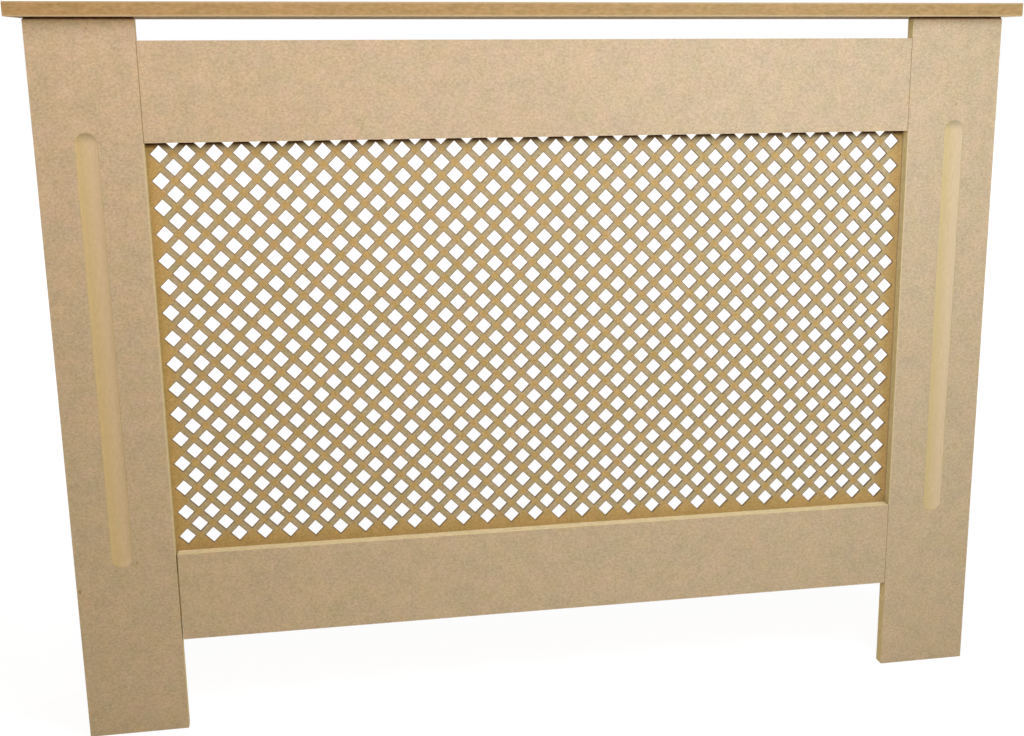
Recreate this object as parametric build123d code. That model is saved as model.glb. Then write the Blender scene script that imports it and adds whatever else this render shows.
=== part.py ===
"""Radiator cover cabinet: a fluted front frame with a diamond lattice grille, two side panels and a shelf.

Millimetres. X runs along the front, +Y towards the wall and +Z up. The origin is on the floor, under the
middle of the shelf. The boards are raw fibreboard, and the cover stands open at the back and at the bottom.
"""

from build123d import *
from build123d.topology import SkipClean
import math
import os

# Boards
board = 15.0                    # thickness of every frame, side and shelf board
shelf_length = 1120.0
shelf_depth = 190.0
shelf_end_overhang = 15.0
shelf_front_overhang = 20.0
carcass_height = 810.0          # floor to the underside of the shelf
stile_width = 111.0
stile_top_gap = 2.0             # the stiles stop this far below the shelf, which rests on the side panels
top_rail_height = 106.0
bottom_rail_height = 104.0
vent_slot_height = 24.0         # open slot between the shelf and the top rail
toe_gap_height = 112.0          # open gap between the bottom rail and the floor
open_joint = 1.5                # the bottom rail stands this far off the left stile

# Flute cut in each stile by a round-nosed cutter
flute_width = 23.5
flute_depth = 5.0
flute_inset = 52.5              # stile's outer edge to the middle of the flute
flute_foot = 205.0              # floor to the lower end of the flute
flute_head = 118.0              # underside of the shelf to the upper end of the flute

# Lattice grille, a thin board fixed on the back of the frame
grille_thickness = 3.0
grille_overlap = 25.0           # how far the grille reaches behind the frame, on every side
hole_side = 13.2                # each hole is a square that stands on its corner
bar_width = 7.3                 # wood left between two rows of holes
lattice_side_margin = 3.0       # least wood shown between the outer holes and the stiles
lattice_foot_margin = 16.5      # bottom rail to the centres of the lowest holes
lattice_head_run = 5.0          # how far behind the top rail the highest hole centres may lie
grille_strips = 2               # upright strips that the wide faces are divided into

# Skirting notch at the lower back corner of each side panel
notch_height = 120.0
notch_depth = 20.0

# Biscuits, pressed beech lenses that join the rail ends to the stiles
biscuit_length = 56.0
biscuit_width = 23.0
biscuit_thickness = 4.0

# Dowels
dowel_diameter = 8.0
dowel_length = 30.0
dowel_face_depth = 10.0         # how far a dowel enters the face of a board; the rest is in the edge
dowel_end_room = 1.0            # empty bore past each end of a dowel

# Cam fittings
cam_diameter = 15.0
cam_depth = 12.0
cam_setback = 34.0              # from the joint to the cam's centre
cam_slot_length = 9.0           # screwdriver slot in the cam's face
cam_slot_width = 1.6
cam_slot_depth = 2.0
cam_bolt_diameter = 7.0
cam_bolt_past_centre = 3.0      # how far the bolt's head reaches past the cam's centre
cam_thread_diameter = 5.0
cam_thread_length = 10.0
side_cam_inset = 150.0          # from the side panel's upper and lower ends

# Grille staples
staple_crown = 10.0
staple_wire_width = 1.2
staple_wire_thickness = 0.8
staple_leg = 9.0
staple_inset = 8.0              # from the grille's edge
staples_per_rail = 3
staples_per_stile = 1

# Wall brackets
bracket_leg = 30.0
bracket_height = 20.0
bracket_thickness = 2.0
bracket_drop = 110.0            # underside of the shelf to the middle of the bracket
bracket_hole_diameter = 4.5
bracket_hole_reach = 19.0       # from the bracket's corner to the hole in each leg
screw_diameter = 3.6
screw_length = 12.0             # under the head
screw_head_diameter = 7.5
screw_head_height = 2.4

# Clearances
bore_clearance = 0.1            # round pieces in their bores, on the radius
slot_clearance = 0.05           # flat-sided pieces in their slots, on each side

# Places worked out from the sizes above
front_y = -shelf_depth / 2 + shelf_front_overhang
frame_back_y = front_y + board
wall_y = shelf_depth / 2
outer_x = shelf_length / 2 - shelf_end_overhang
inner_x = outer_x - stile_width
side_inner_x = outer_x - board
board_middle_y = (front_y + frame_back_y) / 2
side_middle_x = (side_inner_x + outer_x) / 2
stile_head = carcass_height - stile_top_gap
opening_foot = toe_gap_height + bottom_rail_height
top_rail_head = carcass_height - vent_slot_height
opening_head = top_rail_head - top_rail_height
rail_limits = [(toe_gap_height, opening_foot), (opening_head, top_rail_head)]
grille_back_y = frame_back_y + grille_thickness
bracket_z = carcass_height - bracket_drop
LEFT, RIGHT = -1, 1


def block(x_range, y_range, z_range):
    """A square-edged block between two limits on each axis."""
    low = [min(pair) for pair in (x_range, y_range, z_range)]
    high = [max(pair) for pair in (x_range, y_range, z_range)]
    middle = [(a + b) / 2 for a, b in zip(low, high)]
    size = [b - a for a, b in zip(low, high)]
    return Pos(*middle) * Box(*size)


def rod(start, direction, diameter, length):
    """A round bar that starts at a point and runs along a direction."""
    face = Plane(origin=start, z_dir=direction)
    return face * Cylinder(diameter / 2, length, align=(Align.CENTER, Align.CENTER, Align.MIN))


def bore(start, direction, diameter, depth):
    """The hole that a round piece of this diameter fits, from a board's surface inwards."""
    return rod(start, direction, diameter + 2 * bore_clearance, depth)


def both_ways(start, direction, length_forward, length_back, diameter):
    """A round bar that passes through a joint, with its two lengths on the two sides of it."""
    back = [s - d * length_back for s, d in zip(start, direction)]
    return rod(back, direction, diameter, length_forward + length_back)


def add_all(pieces):
    """Separate solids of one node, kept side by side."""
    return Compound(children=pieces)


# Where the joints are. Each joint is a point on the meeting plane and the direction into the board's edge.
def rail_joint(side, limits):
    """The middle of a rail's end, on the stile's inner edge."""
    return (side * inner_x, board_middle_y, sum(limits) / 2)


def side_dowel_joint(side):
    """Halfway up the side panel's front edge."""
    return ((side * side_middle_x, frame_back_y, carcass_height / 2), (0, 1, 0))


def side_cam_joints(side):
    """Low and high on the side panel's front edge."""
    heights = (side_cam_inset, carcass_height - side_cam_inset)
    return [((side * side_middle_x, frame_back_y, z), (0, 1, 0)) for z in heights]


def shelf_dowel_joint(side):
    """The shelf's underside, over the middle of the stile's top."""
    return ((side * (outer_x + inner_x) / 2, board_middle_y, carcass_height), (0, 0, -1))


def shelf_cam_joint(side):
    """The middle of the side panel's top."""
    return ((side * side_middle_x, (frame_back_y + wall_y) / 2, carcass_height), (0, 0, -1))


def staple_places():
    """The middle of each staple's crown on the back of the grille, and the direction the crown runs in."""
    reach = grille_overlap - staple_inset
    places = []
    for k in range(staples_per_rail):
        x = (2 * k + 1 - staples_per_rail) / staples_per_rail * inner_x
        for z in (opening_foot - reach, opening_head + reach):
            places.append(((x, grille_back_y, z), (1, 0, 0)))
    for k in range(staples_per_stile):
        z = opening_foot + (2 * k + 1) / (2 * staples_per_stile) * (opening_head - opening_foot)
        for side in (LEFT, RIGHT):
            places.append(((side * (inner_x + reach), grille_back_y, z), (0, 0, 1)))
    return places


def bracket_screw_place(side):
    return (side * side_inner_x, wall_y - bracket_hole_reach, bracket_z)


# Bores and slots
def edge_bore(joint):
    """The bore of a dowel in a board's edge, where a board's face meets that edge."""
    point, into_edge = joint
    return bore(point, into_edge, dowel_diameter, dowel_length - dowel_face_depth + dowel_end_room)


def face_bore(joint):
    """The bore of the same dowel in the face that the edge meets."""
    point, into_edge = joint
    into_face = tuple(-d for d in into_edge)
    return bore(point, into_face, dowel_diameter, dowel_face_depth + dowel_end_room)


def biscuit(middle, clearance):
    """A lens of two arcs, upright across a joint, or with a clearance the slot that it is glued in."""
    half_length = biscuit_length / 2 + clearance
    half_width = biscuit_width / 2 + clearance
    foot, head = (0, -half_length), (0, half_length)
    outline = ThreePointArc(foot, (half_width, 0), head) + ThreePointArc(head, (-half_width, 0), foot)
    lens = extrude(Plane.XZ * make_face(outline), biscuit_thickness / 2 + clearance, both=True)
    return Pos(*middle) * lens


def cam_bolt_bore(joint):
    """The bore in a panel's edge that the cam bolt's shank runs in, up to the cam."""
    point, into_edge = joint
    return bore(point, into_edge, cam_bolt_diameter, cam_setback + cam_bolt_past_centre)


def cam_thread_bore(joint):
    """The bore that the cam bolt's thread is driven into."""
    point, into_edge = joint
    into_face = tuple(-d for d in into_edge)
    return bore(point, into_face, cam_thread_diameter, cam_thread_length)


def cam_housing(joint, side):
    """The round pocket for a cam, sunk in the inner face of a side panel."""
    point, into_edge = joint
    centre = [p + d * cam_setback for p, d in zip(point, into_edge)]
    centre[0] = side * side_inner_x
    return bore(centre, (side, 0, 0), cam_diameter, cam_depth)


def staple_solid(place, clearance):
    """A wire staple driven through the grille, or with a clearance the two slots that its legs make."""
    (x, y, z), along = place
    face = Plane(origin=(x, y, z), x_dir=along, z_dir=(0, 1, 0))
    half_crown = staple_crown / 2
    wire = staple_wire_width
    parts = []
    for side in (LEFT, RIGHT):
        leg_middle = side * (half_crown - wire / 2)
        leg = Box(wire + 2 * clearance, staple_wire_thickness + 2 * clearance, staple_leg + clearance)
        parts.append(Pos(leg_middle, 0, -(staple_leg + clearance) / 2) * leg)
    if not clearance:
        parts.append(Pos(0, 0, wire / 2) * Box(staple_crown, staple_wire_thickness, wire))
    return [face * part for part in parts]


# Pieces
def flute_cutter():
    """A round bar with ball ends, sunk to the flute's depth: its cut is the flute's width at the surface."""
    radius = (flute_width ** 2 / 4 + flute_depth ** 2) / (2 * flute_depth)
    axis_x = outer_x - flute_inset
    axis_y = front_y - radius + flute_depth
    foot = flute_foot + flute_width / 2
    head = carcass_height - flute_head - flute_width / 2
    bar = rod((axis_x, axis_y, foot), (0, 0, 1), 2 * radius, head - foot)
    return bar + Pos(axis_x, axis_y, foot) * Sphere(radius) + Pos(axis_x, axis_y, head) * Sphere(radius)


def stile(side):
    """A front upright with its flute, and bores for the rails, the side panel and the shelf."""
    body = block((side * inner_x, side * outer_x), (front_y, frame_back_y), (0, stile_head))
    cutter = flute_cutter()
    body -= cutter if side == RIGHT else mirror(cutter, about=Plane.YZ)
    for limits in rail_limits:
        body -= biscuit(rail_joint(side, limits), slot_clearance)
    body -= face_bore(side_dowel_joint(side))
    for joint in side_cam_joints(side):
        body -= cam_thread_bore(joint)
    body -= edge_bore(shelf_dowel_joint(side))
    return cut_staple_slots(body)


def rail(limits, left_gap):
    """A board between the stiles, with a biscuit slot in each end and a gap at the left stile."""
    body = block((left_gap - inner_x, inner_x), (front_y, frame_back_y), limits)
    for side in (LEFT, RIGHT):
        body -= biscuit(rail_joint(side, limits), slot_clearance)
    return cut_staple_slots(body)


def cut_staple_slots(body):
    """Cuts the slots of those staples whose legs reach into this board."""
    for place in staple_places():
        for slot in staple_solid(place, slot_clearance):
            if (body & slot) is not None and (body & slot).volume > 0:
                body -= slot
    return body


def side_panel(side):
    """An end board with a skirting notch, cam pockets on its inner face and bores in its edges."""
    body = block((side * side_inner_x, side * outer_x), (frame_back_y, wall_y), (0, carcass_height))
    body -= block((0, side * shelf_length), (wall_y - notch_depth, 2 * wall_y), (-notch_height, notch_height))
    body -= edge_bore(side_dowel_joint(side))
    for joint in side_cam_joints(side) + [shelf_cam_joint(side)]:
        body -= cam_bolt_bore(joint)
        body -= cam_housing(joint, side)
    screw_depth = screw_length - bracket_thickness
    body -= bore(bracket_screw_place(side), (side, 0, 0), screw_diameter, screw_depth)
    return body


def top_shelf():
    """The shelf board, with blind bores in its underside."""
    body = block(
        (-shelf_length / 2, shelf_length / 2),
        (-shelf_depth / 2, shelf_depth / 2),
        (carcass_height, carcass_height + board),
    )
    for side in (LEFT, RIGHT):
        body -= face_bore(shelf_dowel_joint(side))
        body -= cam_thread_bore(shelf_cam_joint(side))
    return body


def lattice_size():
    """How many half-pitch steps the hole centres span along X and along Z, inside the opening."""
    pitch = (hole_side + bar_width) * math.sqrt(2)
    hole_diagonal = hole_side * math.sqrt(2)
    shown_width = 2 * (inner_x - lattice_side_margin) - hole_diagonal
    shown_height = opening_head - opening_foot - lattice_foot_margin + lattice_head_run
    return 2 * int(shown_width / pitch), int(shown_height / (pitch / 2))


def lattice_slots(lean):
    """The diagonal slots of one half of the grille: lean 1 climbs to the right, lean -1 to the left.

    A hole centre is at whole half-pitch steps (a, b) from the lower left one, with a + b even. A slot joins
    the holes on one diagonal, so the slots of the two halves cross exactly at the holes.
    """
    half_pitch = (hole_side + bar_width) / math.sqrt(2)
    steps_x, steps_z = lattice_size()
    slots = []
    for first in range(-2 * (steps_z // 2), steps_x + 1, 2):
        low = max(0, -first)
        high = min(steps_z, steps_x - first)
        length = (high - low) * (hole_side + bar_width) + hole_side
        middle = (low + high) / 2
        x = lean * (first + middle - steps_x / 2) * half_pitch
        z = opening_foot + lattice_foot_margin + middle * half_pitch
        slots.append(Pos(x, z) * Rot(0, 0, 45 * lean) * Rectangle(length, hole_side))
    return slots


def grille_layer(lean, back_y):
    """One half of the grille's thickness. Seams between upright strips stay on its wide faces."""
    width = 2 * (inner_x + grille_overlap)
    height = opening_head - opening_foot + 2 * grille_overlap
    slots = lattice_slots(lean)
    staple_slots = [slot for place in staple_places() for slot in staple_solid(place, slot_clearance)]
    strips = []
    for k in range(grille_strips):
        x = width * ((k + 0.5) / grille_strips - 0.5)
        outline = Pos(x, (opening_foot + opening_head) / 2) * Rectangle(width / grille_strips, height)
        strip = Pos(0, back_y, 0) * extrude(Plane.XZ * (outline - slots), grille_thickness / 2)
        strips.append(strip - staple_slots)
    with SkipClean():
        return strips[0] + strips[1:]


def grille_panel():
    """The pierced board, as two half-thickness layers whose slots lean opposite ways and cross at the holes."""
    front_layer = grille_layer(1, frame_back_y + grille_thickness / 2)
    back_layer = grille_layer(-1, grille_back_y)
    return add_all([front_layer.solid(), back_layer.solid()])


def rail_biscuits():
    places = [rail_joint(side, limits) for side in (LEFT, RIGHT) for limits in rail_limits]
    return add_all([biscuit(place, 0) for place in places])


def dowels(joints):
    """Dowels that stand in a board's face and run into another board's edge."""
    in_edge = dowel_length - dowel_face_depth
    return add_all([both_ways(point, direction, in_edge, dowel_face_depth, dowel_diameter)
                    for point, direction in joints])


def cam_bolts(places):
    """Turned bolts with a thread in one board and a smooth shank that the cam draws in."""
    bolts = []
    for (point, into_edge), _ in places:
        into_face = tuple(-d for d in into_edge)
        shank = rod(point, into_edge, cam_bolt_diameter, cam_setback + cam_bolt_past_centre)
        bolts.append(shank + rod(point, into_face, cam_thread_diameter, cam_thread_length))
    return add_all(bolts)


def cam_locks(places):
    """Drums with a mouth for the bolt's end and a screwdriver slot in the face."""
    mouth_width = cam_bolt_diameter + 2 * bore_clearance
    mouth_length = cam_diameter / 2 + cam_bolt_past_centre + bore_clearance
    mouth = Box(mouth_length, mouth_width, mouth_width, align=(Align.MIN, Align.CENTER, Align.CENTER))
    drum = Cylinder(cam_diameter / 2, cam_depth, align=(Align.CENTER, Align.CENTER, Align.MIN))
    drum -= Pos(-cam_diameter / 2, 0, board / 2) * mouth
    drum -= Pos(0, 0, cam_slot_depth / 2) * Box(cam_slot_length, cam_slot_width, cam_slot_depth)
    locks = []
    for (point, into_edge), side in places:
        centre = [p + d * cam_setback for p, d in zip(point, into_edge)]
        centre[0] = side * side_inner_x
        locks.append(Plane(origin=centre, x_dir=into_edge, z_dir=(side, 0, 0)) * drum)
    return add_all(locks)


def wall_bracket(side):
    """A bent steel strip, one leg on the side panel's inner face and the other flat against the wall."""
    corner_x = side * side_inner_x
    heights = (bracket_z - bracket_height / 2, bracket_z + bracket_height / 2)
    side_leg = block(
        (corner_x, corner_x - side * bracket_thickness), (wall_y - bracket_leg, wall_y), heights
    )
    wall_leg = block(
        (corner_x, corner_x - side * bracket_leg), (wall_y - bracket_thickness, wall_y), heights
    )
    strip = side_leg + wall_leg
    _, screw_y, screw_z = bracket_screw_place(side)
    strip -= rod((0, screw_y, screw_z), (side, 0, 0), bracket_hole_diameter, shelf_length)
    wall_hole_x = corner_x - side * bracket_hole_reach
    strip -= rod((wall_hole_x, 0, screw_z), (0, 1, 0), bracket_hole_diameter, 2 * wall_y)
    return strip


def bracket_screws():
    pieces = []
    for side in (LEFT, RIGHT):
        x, y, z = bracket_screw_place(side)
        head_seat = (x - side * bracket_thickness, y, z)
        shank = rod(head_seat, (side, 0, 0), screw_diameter, screw_length)
        head = rod(head_seat, (-side, 0, 0), screw_head_diameter, screw_head_height)
        pieces.append(shank + head)
    return add_all(pieces)


def grille_staples():
    pieces = []
    for place in staple_places():
        leg_a, leg_b, crown = staple_solid(place, 0)
        pieces.append(leg_a + leg_b + crown)
    return add_all(pieces)


bottom_rail_limits, top_rail_limits = rail_limits
side_cam_places = [(joint, side) for side in (LEFT, RIGHT) for joint in side_cam_joints(side)]
shelf_cam_places = [(shelf_cam_joint(side), side) for side in (LEFT, RIGHT)]

pieces = {
    "top_shelf": top_shelf(),
    "left_stile": stile(LEFT),
    "right_stile": stile(RIGHT),
    "top_rail": rail(top_rail_limits, 0),
    "bottom_rail": rail(bottom_rail_limits, open_joint),
    "grille_panel": grille_panel(),
    "left_side_panel": side_panel(LEFT),
    "right_side_panel": side_panel(RIGHT),
    "rail_biscuits": rail_biscuits(),
    "side_dowels": dowels([side_dowel_joint(LEFT), side_dowel_joint(RIGHT)]),
    "shelf_dowels": dowels([shelf_dowel_joint(LEFT), shelf_dowel_joint(RIGHT)]),
    "side_cam_bolts": cam_bolts(side_cam_places),
    "side_cam_locks": cam_locks(side_cam_places),
    "shelf_cam_bolts": cam_bolts(shelf_cam_places),
    "shelf_cam_locks": cam_locks(shelf_cam_places),
    "grille_staples": grille_staples(),
    "left_wall_bracket": wall_bracket(LEFT),
    "right_wall_bracket": wall_bracket(RIGHT),
    "bracket_screws": bracket_screws(),
}

os.makedirs("parts", exist_ok=True)
for name, shape in pieces.items():
    export_step(shape, f"parts/{name}.step")
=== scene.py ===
"""Looks of the radiator cover: raw fibreboard, the exact pierced grille, studio light and camera.

Metres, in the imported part's frame: X along the front, +Y to the wall, +Z up, origin on the floor.
"""

import math

import bmesh
import bpy
from mathutils import Euler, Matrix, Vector


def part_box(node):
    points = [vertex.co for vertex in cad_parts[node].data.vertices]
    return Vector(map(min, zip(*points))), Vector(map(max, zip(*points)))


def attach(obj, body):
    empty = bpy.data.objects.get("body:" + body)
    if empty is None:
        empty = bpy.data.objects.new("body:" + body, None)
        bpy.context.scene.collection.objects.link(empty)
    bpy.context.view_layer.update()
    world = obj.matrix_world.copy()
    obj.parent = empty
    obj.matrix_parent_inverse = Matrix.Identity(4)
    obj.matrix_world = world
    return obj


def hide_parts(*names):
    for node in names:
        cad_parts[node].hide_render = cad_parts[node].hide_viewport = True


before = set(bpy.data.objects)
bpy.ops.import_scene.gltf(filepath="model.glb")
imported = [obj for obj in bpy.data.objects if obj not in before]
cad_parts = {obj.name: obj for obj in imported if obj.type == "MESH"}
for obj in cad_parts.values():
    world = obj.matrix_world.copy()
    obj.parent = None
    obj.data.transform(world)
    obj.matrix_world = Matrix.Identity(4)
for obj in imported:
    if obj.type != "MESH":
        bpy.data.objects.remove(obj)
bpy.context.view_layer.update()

MM = 0.001

# Grille, as the sheet is pierced
HOLE_SIDE = 13.2 * MM
BAR_WIDTH = 7.3 * MM
LATTICE_FOOT_MARGIN = 16.5 * MM     # bottom rail's upper edge to the centres of the lowest holes
LATTICE_STEPS_X = 58                # half-pitch steps between the outermost hole centres
LATTICE_STEPS_Z = 31
HALF_PITCH = (HOLE_SIDE + BAR_WIDTH) / math.sqrt(2)
RIM_WIDTH = 0.8 * MM                # darker line along each hole, left by the cutter

# Arrises: how much the sharp edges of sanded boards are broken
ARRIS_WIDTH = 0.35 * MM
ARRIS_ANGLE_DEG = 35                # edges flatter than this are left as they are
WELD_REACH = 0.001 * MM             # the imported mesh's split corners lie within this

# Dark strip in each joint between a stile's head and the shelf: a painted shadow for the shade in
# that gap
STRIP_STEPS = 40                     # sections along the joint
STRIP_INSET = 1.0 * MM               # from the stile's ends and faces
STRIP_CLEARANCE = 0.02 * MM          # to the stile below and the shelf above
STRIP_HOLLOW = 0.5 * MM              # how far back the middle of its front lies
STRIP_SWAY = 0.25 * MM               # half of the most that its front wanders

# Camera, which repeats the photograph's view
CAMERA_PLACE = (-0.2805, -1.6751, 0.7825)
CAMERA_TILT_DEG = 75.794
CAMERA_ROLL_DEG = 0.195
CAMERA_TURN_DEG = -11.499
CAMERA_LENS_MM = 50.126
CAMERA_SHIFT = (-0.0710, 0.0345)
SENSOR_WIDTH_MM = 36.0

# Lamps: place, the point aimed at, diameter, and watts of red, green and blue. The front ones
# are slightly coloured, as the light in the photograph is.
MIDDLE = (0.0, 0.0, 0.45)
LAMPS = {
    "front_view": ((-0.28, -1.65, 0.98), MIDDLE, 0.35, (7.0, 5.8, 1.8)),
    "front_high": ((0.2, -0.9, 1.7), MIDDLE, 0.6, (2.4, 2.05, 0.9)),
    "near_top": ((-0.5, -0.6, 1.05), MIDDLE, 0.4, (2.25, 2.15, 2.8)),
    "near_right": ((0.25, -0.75, 0.92), MIDDLE, 0.5, (3.25, 4.15, 6.6)),
    "far_right": ((0.95, -0.9, 1.0), MIDDLE, 0.6, (4.45, 5.05, 5.45)),
    "back_left": ((-1.6, 1.7, 1.0), MIDDLE, 1.4, (24.0, 24.0, 24.0)),
    "back_right": ((1.8, 1.5, 1.0), MIDDLE, 1.4, (20.0, 20.0, 20.0)),
}

WORLD_STRENGTH = 0.125

# Floor: its shadow fades between two distances from the cover's middle
FLOOR_HALF_SIZE = 12.0
FLOOR_NEAR = 1.2
FLOOR_FAR = 3.0
FLOOR_SHOWN_SHARE = 0.82            # share of plain white near the cover, where the rest is lit
FLOOR_SHOWN_STRENGTH = 1.09         # brings that mix up to nearly white outside the shadow
FLOOR_SHADE = 0.9

BOARDS = ("top_shelf", "left_stile", "right_stile", "top_rail", "bottom_rail",
          "left_side_panel", "right_side_panel")


def colour(red, green, blue):
    """A colour written in the usual 0 to 255 display values, as the shader's linear values."""
    linear = []
    for value in (red, green, blue):
        share = value / 255
        linear.append(share / 12.92 if share <= 0.04045 else ((share + 0.055) / 1.055) ** 2.4)
    return (*linear, 1.0)


NOISE_RANGE = (0.3, 0.7)            # most of a noise's values
CLOUD_RANGE = (0.35, 0.65)          # the same, for softer patches


class Graph:
    """A node tree with short calls for the few kinds of node that the materials use."""

    def __init__(self, name):
        self.material = bpy.data.materials.new(name)
        self.material.use_nodes = True
        self.tree = self.material.node_tree
        self.shader = self.tree.nodes["Principled BSDF"]

    def node(self, kind, **settings):
        """A new node with these properties set."""
        node = self.tree.nodes.new(kind)
        for name, value in settings.items():
            setattr(node, name, value)
        return node

    def feed(self, socket, value):
        """Sets an input socket to a number or a colour, or links another node's output to it."""
        if isinstance(value, bpy.types.NodeSocket):
            self.tree.links.new(value, socket)
        else:
            socket.default_value = value

    def math(self, operation, first, second=0.0):
        """A sum, product or other operation on numbers."""
        node = self.node("ShaderNodeMath", operation=operation)
        self.feed(node.inputs[0], first)
        self.feed(node.inputs[1], second)
        return node.outputs[0]

    def place(self):
        """The point on the surface, in metres of the row frame."""
        return self.node("ShaderNodeTexCoord").outputs["Object"]

    def stretched(self, scale):
        """The same point with its axes scaled."""
        node = self.node("ShaderNodeMapping")
        self.feed(node.inputs["Vector"], self.place())
        node.inputs["Scale"].default_value = scale
        return node.outputs[0]

    def axes(self, vector):
        """X, Y and Z of a vector."""
        node = self.node("ShaderNodeSeparateXYZ")
        self.feed(node.inputs[0], vector)
        return node.outputs

    def noise(self, scale, detail=3.0, roughness=0.55, stretch=(1, 1, 1)):
        """A grey noise in the row frame."""
        node = self.node("ShaderNodeTexNoise")
        self.feed(node.inputs["Vector"], self.stretched(stretch))
        node.inputs["Scale"].default_value = scale
        node.inputs["Detail"].default_value = detail
        node.inputs["Roughness"].default_value = roughness
        return node.outputs["Fac"]

    def span(self, value, low, high, to_low=0.0, to_high=1.0):
        """Maps low to high onto another range, and clamps it there."""
        node = self.node("ShaderNodeMapRange", clamp=True)
        for socket, number in zip(node.inputs[:5], (value, low, high, to_low, to_high)):
            self.feed(socket, number)
        return node.outputs[0]

    def vary(self, noise, to_low, to_high):
        """Maps the middle of a noise's range onto another range."""
        return self.span(noise, *NOISE_RANGE, to_low, to_high)

    def clouded(self, noise, first, second):
        """Two colours that a noise mixes in soft patches."""
        return self.mix(self.span(noise, *CLOUD_RANGE), first, second)

    def mix(self, share, first, second, blend="MIX"):
        """Blends a second colour over a first by this share."""
        node = self.node("ShaderNodeMix", data_type="RGBA", blend_type=blend)
        self.feed(node.inputs["Factor"], share)
        self.feed(node.inputs[6], first)
        self.feed(node.inputs[7], second)
        return node.outputs[2]

    def sway(self, *parts):
        """Noises added up about one half, each with its own weight."""
        total = 0.5 - sum(weight for _, weight in parts) / 2
        for value, weight in parts:
            total = self.math("ADD", total, self.math("MULTIPLY", value, weight))
        return total

    def both(self, first, *others):
        """The product of masks."""
        for other in others:
            first = self.math("MULTIPLY", first, other)
        return first

    def tint(self, colour_value, tone):
        """A colour multiplied by a number."""
        grey = self.node("ShaderNodeCombineXYZ")
        for socket in grey.inputs:
            self.feed(socket, tone)
        return self.mix(1.0, colour_value, grey.outputs[0], "MULTIPLY")

    def drift(self, scale, red, green, blue):
        """A colour near white whose channels wander by these shares, each by itself."""
        node = self.node("ShaderNodeTexNoise")
        self.feed(node.inputs["Vector"], self.place())
        node.inputs["Scale"].default_value = scale
        node.inputs["Detail"].default_value = 2.0
        out = self.node("ShaderNodeCombineXYZ")
        channels = self.axes(node.outputs["Color"])
        for channel, socket, share in zip(channels, out.inputs, (red, green, blue)):
            self.feed(socket, self.vary(channel, 1 - share, 1 + share))
        return out.outputs[0]

    def spot(self, centre, size):
        """1 inside an oval mark on the surface, 0 outside it."""
        node = self.node("ShaderNodeMapping")
        self.feed(node.inputs["Vector"], self.place())
        node.inputs["Scale"].default_value = [1 / s for s in size]
        node.inputs["Location"].default_value = [-c / s for c, s in zip(centre, size)]
        length = self.node("ShaderNodeVectorMath", operation="LENGTH")
        self.feed(length.inputs[0], node.outputs[0])
        return self.span(length.outputs["Value"], 0.6, 1.0, 1.0, 0.0)

    def bump(self, height, distance, strength):
        """Gives the shader a relief of this height."""
        node = self.node("ShaderNodeBump")
        node.inputs["Strength"].default_value = strength
        node.inputs["Distance"].default_value = distance
        self.feed(node.inputs["Height"], height)
        self.feed(self.shader.inputs["Normal"], node.outputs[0])

    def normal(self, axis, kind="True Normal"):
        """How the surface faces along one axis, from -1 to 1."""
        return self.axes(self.node("ShaderNodeNewGeometry").outputs[kind])["XYZ".index(axis)]

    def normal_share(self, axis):
        """How squarely the surface faces along one axis, either way, from 0 to 1."""
        return self.math("ABSOLUTE", self.normal(axis))


def either_side(shade, amount):
    """A darker and a lighter neighbour of a display colour."""
    return colour(*(c - amount for c in shade)), colour(*(c + amount for c in shade))


# Display colours of the board's faces and edges, about which its fibres stray
FACE = (192, 168, 131)
FACE_SPREAD = 17
SAWN = (183, 160, 109)
RAIL_EDGE = (205, 182, 134)
SHELF_EDGE = (170, 136, 85)
GRILLE = (185, 151, 89)
HOLE_WALL = (118, 92, 58)
RIM = (146, 116, 74)

# Factors on the grille's colour: along its bars, and in the painted shadow below the top rail
BAR_TINT = (0.90, 1.08, 1.72, 1.0)
RAIL_SHADOW_TINT = (0.10, 0.02, 0.01, 1.0)

# Colours of single marks, painted light and shade among them, and pairs that a cloudy noise mixes
SHELF_SKIN = colour(192, 168, 126)
FLUTE_LEFT_WALL_TONE_AND_LIGHT = colour(199, 173, 121)
FLUTE_RIGHT_WALL_TONE_AND_LIGHT = colour(212, 189, 150)
JOINT_AND_CORNER_SHADE_COLOUR = colour(136, 107, 72)
HEAD_SHADOW_COLOUR = colour(140, 88, 45)
ARRIS_HIGHLIGHT_COLOUR = colour(212, 190, 146)
MARK_COLOUR = colour(150, 124, 88)
CHIP_COLOUR = colour(255, 232, 170)
BEECH = (colour(196, 160, 112), colour(222, 190, 146))
ZINC_PLATE = (colour(126, 126, 123), colour(152, 151, 147))
CAST_ZINC = (colour(122, 122, 124), colour(146, 146, 147))
STAPLE_STEEL = (colour(140, 140, 140), colour(165, 165, 163))
# Dark browns of the painted shadow strips in the joints at the stiles' heads
HEAD_SHADOW_BROWNS = (colour(78, 45, 24), colour(116, 72, 42))

# Fibreboard: how many of each kind of spot lie along a metre, about
FIBRES = 1500
TUFTS = 470
BLOTCHES = 60
STREAKS = 520
STREAK_SQUEEZE = 0.35               # streaks are longer than wide by one over this
FINE_WEIGHT, TUFT_WEIGHT, BROAD_WEIGHT = 0.75, 1.5, 0.4
HUE_DRIFT = (0.030, 0.018, 0.040)   # how far red, green and blue wander, each by itself

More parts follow.
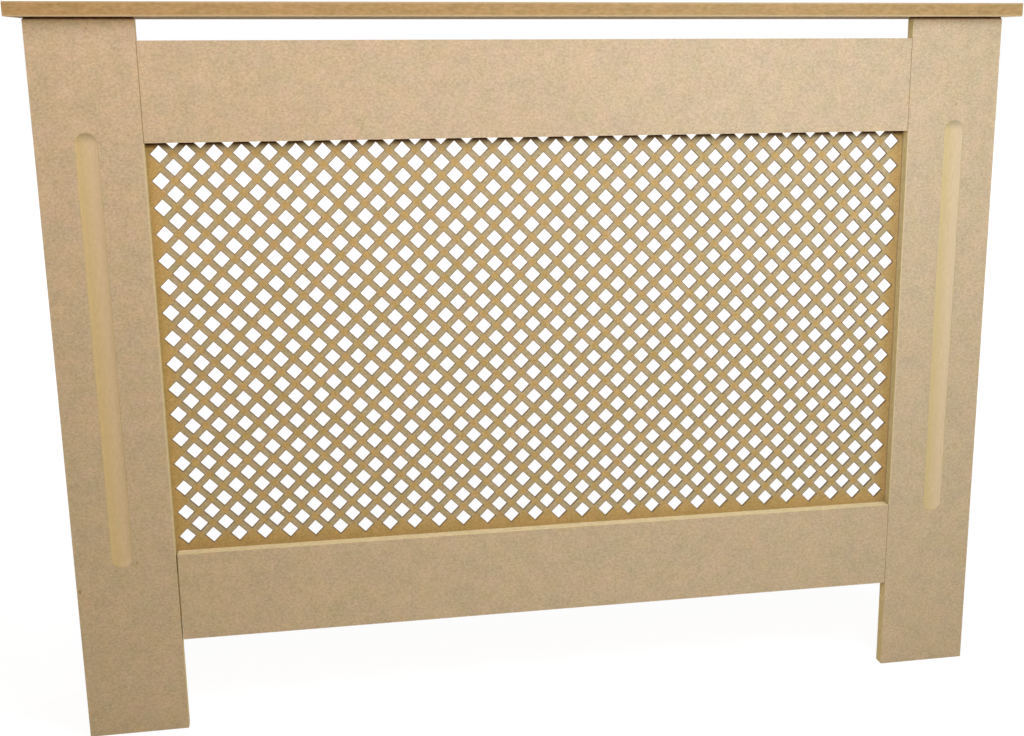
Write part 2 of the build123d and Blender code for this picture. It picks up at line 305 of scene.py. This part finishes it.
# Where the painted marks fade in or out, in metres from the edge or face that each names
FRONT_FACE = (0.3 * MM, 0.5 * MM)       # back from the stile's front
FLUTE_RIM = (0.1 * MM, 0.6 * MM)        # back from the stile's front
FLUTE_FLOOR = (6.0 * MM, 7.0 * MM)      # back from the stile's front, just past the flute
CORNER_SHADE_DEPTH = (11 * MM, 14.5 * MM)     # back from the stile's front, to the grille
CORNER_SHADE_REACH = (1 * MM, 2 * MM)         # out from the opening's side
ARRIS_HIGHLIGHT = (0.8 * MM, 1.8 * MM)       # out from the opening's side
HEAD_SHADOW_REACH = (2.2 * MM, 0.2 * MM)        # down from the stile's head
DARK_END = (0.8 * MM, 0.4 * MM)         # in from the rail's ends
PALE_SKIN = (2.4 * MM, 0.4 * MM)        # in from the shelf's top and underside
BORDER_START = (-2 * MM, 4 * MM)        # out from the outermost holes' centres
CROSSING = (4.5 * MM, 8.0 * MM)         # from the nearest line of hole centres
RAIL_SHADOW_REACH = (7.0 * MM, 1.5 * MM)       # down from the top rail's lower edge

# Small marks on the front of the stiles in millimetres: middle in X and Z, half width, half height
MARKS = (
    (-541.5, 179.8, 1.8, 3.0),
    (-477.1, 209.7, 1.2, 2.0),
    (-482.3, 798.7, 1.6, 1.0),
    (-449.1, 689.0, 1.2, 1.2),
    (493.0, 710.3, 1.0, 2.6),
)
CHIP = (-311.8, 255.5, 1.3, 0.9)    # a pale chip on the grille
MARK_SHARE = 0.8                    # how much of a mark's colour covers the board


def fibreboard(name, face_axis, long_axis, face=FACE, edge=SAWN):
    """The graph and the colour of raw fibreboard.

    Its faces show tufts of fibre, and on its edges they are drawn out lengthways.
    """
    g = Graph(name)
    fibre = g.noise(FIBRES, detail=3, roughness=0.6)
    tuft = g.noise(TUFTS, detail=2, roughness=0.5, stretch=(0.75, 1, 1))
    blotch = g.noise(BLOTCHES, detail=2)
    along = [1.0, 1.0, 1.0]
    along["XYZ".index(long_axis)] = STREAK_SQUEEZE
    streak = g.noise(STREAKS, detail=2, roughness=0.5, stretch=along)
    drift = g.drift(BLOTCHES, *HUE_DRIFT)

    fine, broad = (fibre, FINE_WEIGHT), (blotch, BROAD_WEIGHT)
    faces = g.mix(g.sway(fine, (tuft, TUFT_WEIGHT), broad), *either_side(face, FACE_SPREAD))
    edges = g.mix(g.sway(fine, (streak, TUFT_WEIGHT), broad), *either_side(edge, FACE_SPREAD))
    surface = g.mix(g.span(g.normal_share(face_axis), 0.80, 0.97), edges, faces)
    surface = g.mix(1.0, surface, drift, "MULTIPLY")

    g.feed(g.shader.inputs["Roughness"], g.vary(tuft, 0.80, 0.92))
    g.shader.inputs["Specular IOR Level"].default_value = 0.12
    g.shader.inputs["Diffuse Roughness"].default_value = 1.0
    g.bump(g.math("ADD", fibre, g.math("MULTIPLY", streak, 0.4)), 0.08 * MM, 0.6)
    return g, surface


def marked(g, surface, marks, y, shade):
    """Small oval marks on the plane at y."""
    total = None
    for x, z, half_width, half_height in marks:
        mark = g.spot((x * MM, y, z * MM), (half_width * MM, 1.0, half_height * MM))
        total = mark if total is None else g.math("MAXIMUM", total, mark)
    return g.mix(g.math("MULTIPLY", total, MARK_SHARE), surface, shade)


def stile_material(name, front_y, inner_x, opening, head):
    """Board with a routed flute, a pale painted highlight on the arrises at the opening, a painted
    shadow at its head, painted shade in the flute and the corners, and small marks.
    """
    g, surface = fibreboard(name, "Y", "Z")
    x, y, z = g.axes(g.place())
    depth = g.math("SUBTRACT", y, front_y)
    reach = g.math("ABSOLUTE", x)
    on_front = g.span(depth, *FRONT_FACE, 1.0, 0.0)
    level_with_opening = g.both(g.span(z, opening[0], opening[0] + MM),
                                g.span(z, opening[1] - MM, opening[1], 1.0, 0.0))

    # Flute: its yellower colour and streaks are the board's own. The warmer left wall and paler
    # right wall, chosen by which way each faces, are painted light, and shaded_top is painted shade
    # on the rounded head where it faces down.
    streak = g.noise(STREAKS, detail=2, stretch=(1, 1, 0.3))
    across = g.span(g.normal("X", "Normal"), -0.45, 0.45)
    shaded_top = g.span(g.normal("Z", "Normal"), -0.72, 0.05, 0.60, 1.0)
    tone = g.both(g.vary(streak, 0.95, 1.05), shaded_top)
    routed = g.tint(g.mix(across, FLUTE_RIGHT_WALL_TONE_AND_LIGHT, FLUTE_LEFT_WALL_TONE_AND_LIGHT), tone)
    in_flute = g.both(g.span(depth, *FLUTE_RIM), g.span(g.normal_share("Y"), 0.4, 0.5),
                      g.span(depth, *FLUTE_FLOOR, 1.0, 0.0))
    surface = g.mix(in_flute, surface, routed)

    # Painted highlight: a paler band on the front along the arrises at the opening.
    arris = g.both(on_front, level_with_opening,
                   g.span(reach, inner_x + ARRIS_HIGHLIGHT[0], inner_x + ARRIS_HIGHLIGHT[1], 0.6, 0.0))
    surface = g.mix(arris, surface, ARRIS_HIGHLIGHT_COLOUR)
    # Painted shade in the corner where the opening's side meets the grille.
    corner = g.both(level_with_opening, g.span(depth, *CORNER_SHADE_DEPTH),
                    g.span(reach, inner_x + CORNER_SHADE_REACH[0], inner_x + CORNER_SHADE_REACH[1], 0.8, 0.0))
    surface = g.mix(corner, surface, JOINT_AND_CORNER_SHADE_COLOUR)
    # Painted shadow: the front darkens towards the stile's head, under the shelf.
    head_shadow = g.both(on_front, g.span(z, head - HEAD_SHADOW_REACH[0], head - HEAD_SHADOW_REACH[1], 0.0, 0.6))
    surface = g.mix(head_shadow, surface, HEAD_SHADOW_COLOUR)
    g.feed(g.shader.inputs["Base Color"], marked(g, surface, MARKS, front_y, MARK_COLOUR))
    return g.material


def rail_material(name, end_x):
    """Board whose ends show as hairlines where they meet the stiles."""
    g, surface = fibreboard(name, "Y", "X", edge=RAIL_EDGE)
    from_middle = g.math("ABSOLUTE", g.axes(g.place())[0])
    at_end = g.span(from_middle, end_x - DARK_END[0], end_x - DARK_END[1])
    g.feed(g.shader.inputs["Base Color"], g.mix(at_end, surface, JOINT_AND_CORNER_SHADE_COLOUR))
    return g.material


def shelf_material(name, low_z, high_z):
    """Board with a brown core at its edges between two paler skins."""
    g, surface = fibreboard(name, "Z", "X", edge=SHELF_EDGE)
    from_middle = g.math("ABSOLUTE", g.math("SUBTRACT", g.axes(g.place())[2], (low_z + high_z) / 2))
    half = (high_z - low_z) / 2
    skin = g.both(g.span(from_middle, half - PALE_SKIN[0], half - PALE_SKIN[1], 0.0, 0.8),
                  g.span(g.normal_share("Z"), 0.5, 0.7, 1.0, 0.0))
    g.feed(g.shader.inputs["Base Color"], g.mix(skin, surface, SHELF_SKIN))
    return g.material


def grille_material(name, foot, head, front_y):
    """Thin board, browner at the bars' crossings and on the border, with painted shadow just below
    the rail.
    """
    g, surface = fibreboard(name, "Y", "X", face=GRILLE, edge=HOLE_WALL)
    x, _, z = g.axes(g.place())
    half_width = LATTICE_STEPS_X / 2 * HALF_PITCH
    middle = foot + LATTICE_STEPS_Z / 2 * HALF_PITCH
    half_height = middle - foot
    from_middle = g.math("ABSOLUTE", g.math("SUBTRACT", z, middle))
    # The border keeps the browner colour: partly the board's own tone, partly painted shade from
    # the frame beside it.
    start, end = BORDER_START
    on_border = g.math(
        "MAXIMUM", g.span(g.math("ABSOLUTE", x), half_width + start, half_width + end),
        g.span(from_middle, half_height + start, half_height + end))
    step = g.math("ADD", x, HALF_PITCH)
    rise = g.math("SUBTRACT", z, foot)
    to_line = []
    for way in ("ADD", "SUBTRACT"):
        slant = g.math("MULTIPLY", g.math(way, step, rise), math.sqrt(0.5))
        to_line.append(g.math("PINGPONG", slant, HALF_PITCH * math.sqrt(0.5)))
    crossing = g.span(g.math("MINIMUM", *to_line), *CROSSING)
    bar = g.math("SUBTRACT", 1.0, g.math("MAXIMUM", crossing, on_border))
    surface = g.mix(bar, surface, g.mix(1.0, surface, BAR_TINT, "MULTIPLY"))
    # Painted shadow on the grille just below the top rail's lower edge.
    not_on_back = g.span(g.normal("Y"), 0.3, 0.7, 1.0, 0.0)
    rail_shadow = g.both(g.span(z, head - RAIL_SHADOW_REACH[0], head - RAIL_SHADOW_REACH[1]), not_on_back)
    surface = g.mix(rail_shadow, surface, g.mix(1.0, surface, RAIL_SHADOW_TINT, "MULTIPLY"))
    g.feed(g.shader.inputs["Base Color"], marked(g, surface, (CHIP,), front_y, CHIP_COLOUR))
    return g.material


def plain_board_material(name, face_axis, long_axis, **colours):
    """Board with nothing else on it."""
    g, surface = fibreboard(name, face_axis, long_axis, **colours)
    g.feed(g.shader.inputs["Base Color"], surface)
    return g.material


def turned_wood(name):
    """Beech, for dowels and biscuits."""
    g = Graph(name)
    grain = g.noise(300, detail=4, stretch=(1, 1, 0.08))
    g.feed(g.shader.inputs["Base Color"], g.clouded(grain, *BEECH))
    g.feed(g.shader.inputs["Roughness"], g.vary(grain, 0.55, 0.7))
    g.bump(grain, 0.05 * MM, 0.5)
    return g.material


def plated_metal(name, shades, roughness):
    """Zinc plated steel or cast zinc, with faint clouding and fine scratches."""
    g = Graph(name)
    cloud = g.noise(160, detail=3)
    scratch = g.noise(1200, detail=2, stretch=(0.1, 1, 1))
    g.feed(g.shader.inputs["Base Color"], g.clouded(cloud, *shades))
    g.shader.inputs["Metallic"].default_value = 1.0
    g.feed(g.shader.inputs["Roughness"], g.vary(scratch, roughness - 0.08, roughness + 0.1))
    g.bump(scratch, 0.02 * MM, 0.4)
    return g.material


def dress(node, material):
    """Gives a CAD node its material, on every slot."""
    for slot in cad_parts[node].material_slots:
        slot.material = material


def soften(node):
    """Joins the imported mesh's split corners and breaks its sharp edges a little."""
    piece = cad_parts[node]
    weld = piece.modifiers.new("weld", "WELD")
    weld.merge_threshold = WELD_REACH
    bevel = piece.modifiers.new("arris", "BEVEL")
    bevel.width = ARRIS_WIDTH
    bevel.segments = 2
    bevel.limit_method = "ANGLE"
    bevel.angle_limit = math.radians(ARRIS_ANGLE_DEG)
    bevel.use_clamp_overlap = False
    bevel.harden_normals = True


def lattice_centres(foot):
    """The centres of the holes, on every second half-pitch step."""
    centres = []
    for b in range(LATTICE_STEPS_Z + 1):
        for a in range(LATTICE_STEPS_X + 1):
            if (a + b) % 2 == 0:
                centres.append(((a - LATTICE_STEPS_X / 2) * HALF_PITCH, foot + b * HALF_PITCH))
    return centres


def diamond(x, z, side):
    """The corners of a square on its corner."""
    reach = side / math.sqrt(2)
    return [(x - reach, z), (x, z + reach), (x + reach, z), (x, z - reach)]


def piece_from(bm, name):
    """A new object of this mesh, with its faces turned outwards."""
    bmesh.ops.recalc_face_normals(bm, faces=bm.faces)
    mesh = bpy.data.meshes.new(name)
    bm.to_mesh(mesh)
    bm.free()
    piece = bpy.data.objects.new(name, mesh)
    bpy.context.scene.collection.objects.link(piece)
    return piece


def pierced_sheet(foot):
    """The grille as one flat sheet with square holes that stand on their corners."""
    low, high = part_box("grille_panel")
    bm = bmesh.new()

    def ring(corners, y):
        return [bm.verts.new((x, y, z)) for x, z in corners]

    def band(first, second, material):
        for k in range(4):
            n = (k + 1) % 4
            bm.faces.new((first[k], first[n], second[n], second[k])).material_index = material

    borders = {low.y: [], high.y: []}
    outline = [(low.x, low.z), (high.x, low.z), (high.x, high.z), (low.x, high.z)]
    outer = [ring(outline, y) for y in borders]
    band(*outer, 0)
    for y, corners in zip(borders, outer):
        borders[y].append(corners)
    for x, z in lattice_centres(foot):
        hole = [ring(diamond(x, z, HOLE_SIDE), y) for y in borders]
        band(*hole, 0)
        for y, edge in zip(borders, hole):
            rim = ring(diamond(x, z, HOLE_SIDE + 2 * RIM_WIDTH), y)
            band(edge, rim, 1)
            borders[y].append(rim)
    for loops in borders.values():
        edges = [bm.edges.get((loop[k], loop[(k + 1) % 4])) for loop in loops for k in range(4)]
        bmesh.ops.triangle_fill(bm, edges=edges, use_beauty=True, use_dissolve=False)
    return piece_from(bm, "grille_sheet")


def head_shadow_strip(name, low_x, high_x, low_z, high_z, front_y, back_y):
    """A dark strip that fills the joint between a stile's head and the shelf, as painted shadow for
    the shade in that gap.

    Its front is hollow and a little uneven.
    """
    bm = bmesh.new()
    sections = []
    for k in range(STRIP_STEPS + 1):
        x = low_x + (high_x - low_x) * k / STRIP_STEPS
        y = front_y + STRIP_SWAY * (math.sin(1.7 * k) + math.sin(0.63 * k + 1))
        profile = [(y, low_z), (y + STRIP_HOLLOW, (low_z + high_z) / 2), (y, high_z),
                   (back_y, high_z), (back_y, low_z)]
        sections.append([bm.verts.new((x, *corner)) for corner in profile])
    for first, second in zip(sections, sections[1:]):
        for k in range(len(first)):
            n = (k + 1) % len(first)
            bm.faces.new((first[k], first[n], second[n], second[k]))
    bm.faces.new(sections[0])
    bm.faces.new(sections[-1])
    return piece_from(bm, name)


def head_shadow_brown(name):
    """Brown, rough and lumpy: the dark colour of the painted shadow strips at the stiles' heads."""
    g = Graph(name)
    cloud = g.noise(240, detail=3)
    g.feed(g.shader.inputs["Base Color"], g.clouded(cloud, *HEAD_SHADOW_BROWNS))
    g.feed(g.shader.inputs["Roughness"], g.vary(cloud, 0.75, 0.95))
    g.shader.inputs["Specular IOR Level"].default_value = 0.1
    g.bump(cloud, 0.2 * MM, 0.6)
    return g.material


def add_lamp(name, place, aim, size, strength):
    """A round soft lamp. Its strength is given in watts of red, green and blue light."""
    light = bpy.data.lights.new(name, "AREA")
    light.shape = "DISK"
    light.size = size
    light.energy = max(strength)
    light.color = [s / light.energy for s in strength]
    lamp = bpy.data.objects.new(name, light)
    lamp.location = place
    lamp.rotation_euler = (Vector(aim) - Vector(place)).to_track_quat("-Z", "Y").to_euler()
    lamp.visible_camera = False
    bpy.context.scene.collection.objects.link(lamp)


def seen_directly(tree):
    """1 for what the camera sees, also in reflections or through glass, and 0 for other light."""
    path = tree.nodes.new("ShaderNodeLightPath")
    total = None
    for name in ("Is Camera Ray", "Is Glossy Ray", "Is Transmission Ray"):
        if total is None:
            total = path.outputs[name]
            continue
        add = tree.nodes.new("ShaderNodeMath")
        add.operation = "MAXIMUM"
        tree.links.new(total, add.inputs[0])
        tree.links.new(path.outputs[name], add.inputs[1])
        total = add.outputs[0]
    return total


def white_world(strength):
    """A world that looks plain white and lights the object with this strength."""
    world = bpy.data.worlds.new("studio")
    bpy.context.scene.world = world
    world.use_nodes = True
    tree = world.node_tree
    lighting = tree.nodes["Background"]
    lighting.inputs["Color"].default_value = (1, 1, 1, 1)
    lighting.inputs["Strength"].default_value = strength
    shown = tree.nodes.new("ShaderNodeBackground")
    shown.inputs["Color"].default_value = (1, 1, 1, 1)
    choose = tree.nodes.new("ShaderNodeMixShader")
    tree.links.new(seen_directly(tree), choose.inputs[0])
    tree.links.new(lighting.outputs[0], choose.inputs[1])
    tree.links.new(shown.outputs[0], choose.inputs[2])
    tree.links.new(choose.outputs[0], tree.nodes["World Output"].inputs["Surface"])


def white_floor():
    """A pale floor that shows nearly white, with a faint shadow that fades out further away."""
    bpy.ops.mesh.primitive_plane_add(size=2 * FLOOR_HALF_SIZE, location=(0, 0, 0))
    floor = bpy.context.object
    floor.name = "floor"
    material = bpy.data.materials.new("floor_white")
    material.use_nodes = True
    tree = material.node_tree
    diffuse = tree.nodes["Principled BSDF"]
    diffuse.inputs["Base Color"].default_value = (FLOOR_SHADE, FLOOR_SHADE, FLOOR_SHADE, 1)
    diffuse.inputs["Roughness"].default_value = 0.9
    glow = tree.nodes.new("ShaderNodeEmission")
    glow.inputs["Strength"].default_value = FLOOR_SHOWN_STRENGTH
    choose = tree.nodes.new("ShaderNodeMixShader")
    place = tree.nodes.new("ShaderNodeTexCoord")
    distance = tree.nodes.new("ShaderNodeVectorMath")
    distance.operation = "LENGTH"
    tree.links.new(place.outputs["Object"], distance.inputs[0])
    fade = tree.nodes.new("ShaderNodeMapRange")
    for socket, number in zip(fade.inputs[1:5], (FLOOR_NEAR, FLOOR_FAR, FLOOR_SHOWN_SHARE, 1.0)):
        socket.default_value = number
    tree.links.new(distance.outputs["Value"], fade.inputs[0])
    share = tree.nodes.new("ShaderNodeMath")
    share.operation = "MULTIPLY"
    tree.links.new(seen_directly(tree), share.inputs[0])
    tree.links.new(fade.outputs[0], share.inputs[1])
    tree.links.new(share.outputs[0], choose.inputs[0])
    tree.links.new(diffuse.outputs[0], choose.inputs[1])
    tree.links.new(glow.outputs[0], choose.inputs[2])
    tree.links.new(choose.outputs[0], tree.nodes["Material Output"].inputs["Surface"])
    floor.data.materials.append(material)


def add_camera():
    """The photograph's camera."""
    data = bpy.data.cameras.new("camera")
    data.sensor_width = SENSOR_WIDTH_MM
    data.lens = CAMERA_LENS_MM
    data.shift_x, data.shift_y = CAMERA_SHIFT
    camera = bpy.data.objects.new("camera", data)
    camera.location = CAMERA_PLACE
    turns = (CAMERA_TILT_DEG, CAMERA_ROLL_DEG, CAMERA_TURN_DEG)
    camera.rotation_euler = Euler([math.radians(turn) for turn in turns])
    bpy.context.scene.collection.objects.link(camera)
    bpy.context.scene.camera = camera


stile_low, stile_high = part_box("right_stile")
opening = (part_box("bottom_rail")[1].z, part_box("top_rail")[0].z)
lattice_foot = opening[0] + LATTICE_FOOT_MARGIN
shelf_low, shelf_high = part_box("top_shelf")
stile_board = stile_material("board_upright", stile_low.y, stile_low.x, opening, stile_high.z)
rail_board = rail_material("board_rail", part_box("top_rail")[1].x)
side_board = plain_board_material("board_side", "X", "Z")
shelf_board = shelf_material("board_shelf", shelf_low.z, shelf_high.z)
grille_front_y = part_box("grille_panel")[0].y
grille_board = grille_material("grille_board_sheet", lattice_foot, opening[1], grille_front_y)
grille_rim = plain_board_material("grille_board_rim", "Y", "X", face=RIM, edge=HOLE_WALL)
for node in ("left_stile", "right_stile"):
    dress(node, stile_board)
for node in ("top_rail", "bottom_rail"):
    dress(node, rail_board)
for node in ("left_side_panel", "right_side_panel"):
    dress(node, side_board)
dress("top_shelf", shelf_board)
dress("grille_panel", grille_board)
for node in BOARDS:
    soften(node)

beech = turned_wood("beech_wood")
for node in ("rail_biscuits", "side_dowels", "shelf_dowels"):
    dress(node, beech)
zinc_plate = plated_metal("zinc_plate", ZINC_PLATE, 0.45)
for node in ("side_cam_bolts", "shelf_cam_bolts", "bracket_screws",
             "left_wall_bracket", "right_wall_bracket"):
    dress(node, zinc_plate)
cast_zinc = plated_metal("cast_zinc", CAST_ZINC, 0.5)
for node in ("side_cam_locks", "shelf_cam_locks"):
    dress(node, cast_zinc)
dress("grille_staples", plated_metal("staple_steel", STAPLE_STEEL, 0.4))

sheet = pierced_sheet(lattice_foot)
sheet.data.materials.append(grille_board)
sheet.data.materials.append(grille_rim)
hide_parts("grille_panel")
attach(sheet, "root")

# Painted shadow: a dark strip in the gap at each stile's head.
head_shadow_look = head_shadow_brown("head_shadow_brown")
for name, stile in (("left_head_shadow_strip", "left_stile"), ("right_head_shadow_strip", "right_stile")):
    low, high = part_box(stile)
    strip = head_shadow_strip(name, low.x + STRIP_INSET, high.x - STRIP_INSET, high.z + STRIP_CLEARANCE,
                      shelf_low.z - STRIP_CLEARANCE, low.y + STRIP_INSET, high.y - STRIP_INSET)
    strip.data.materials.append(head_shadow_look)
    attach(strip, "root")

white_world(WORLD_STRENGTH)
white_floor()
for name, (place, aim, size, strength) in LAMPS.items():
    add_lamp(name, place, aim, size, strength)
add_camera()
bpy.context.scene.view_settings.view_transform = "Standard"
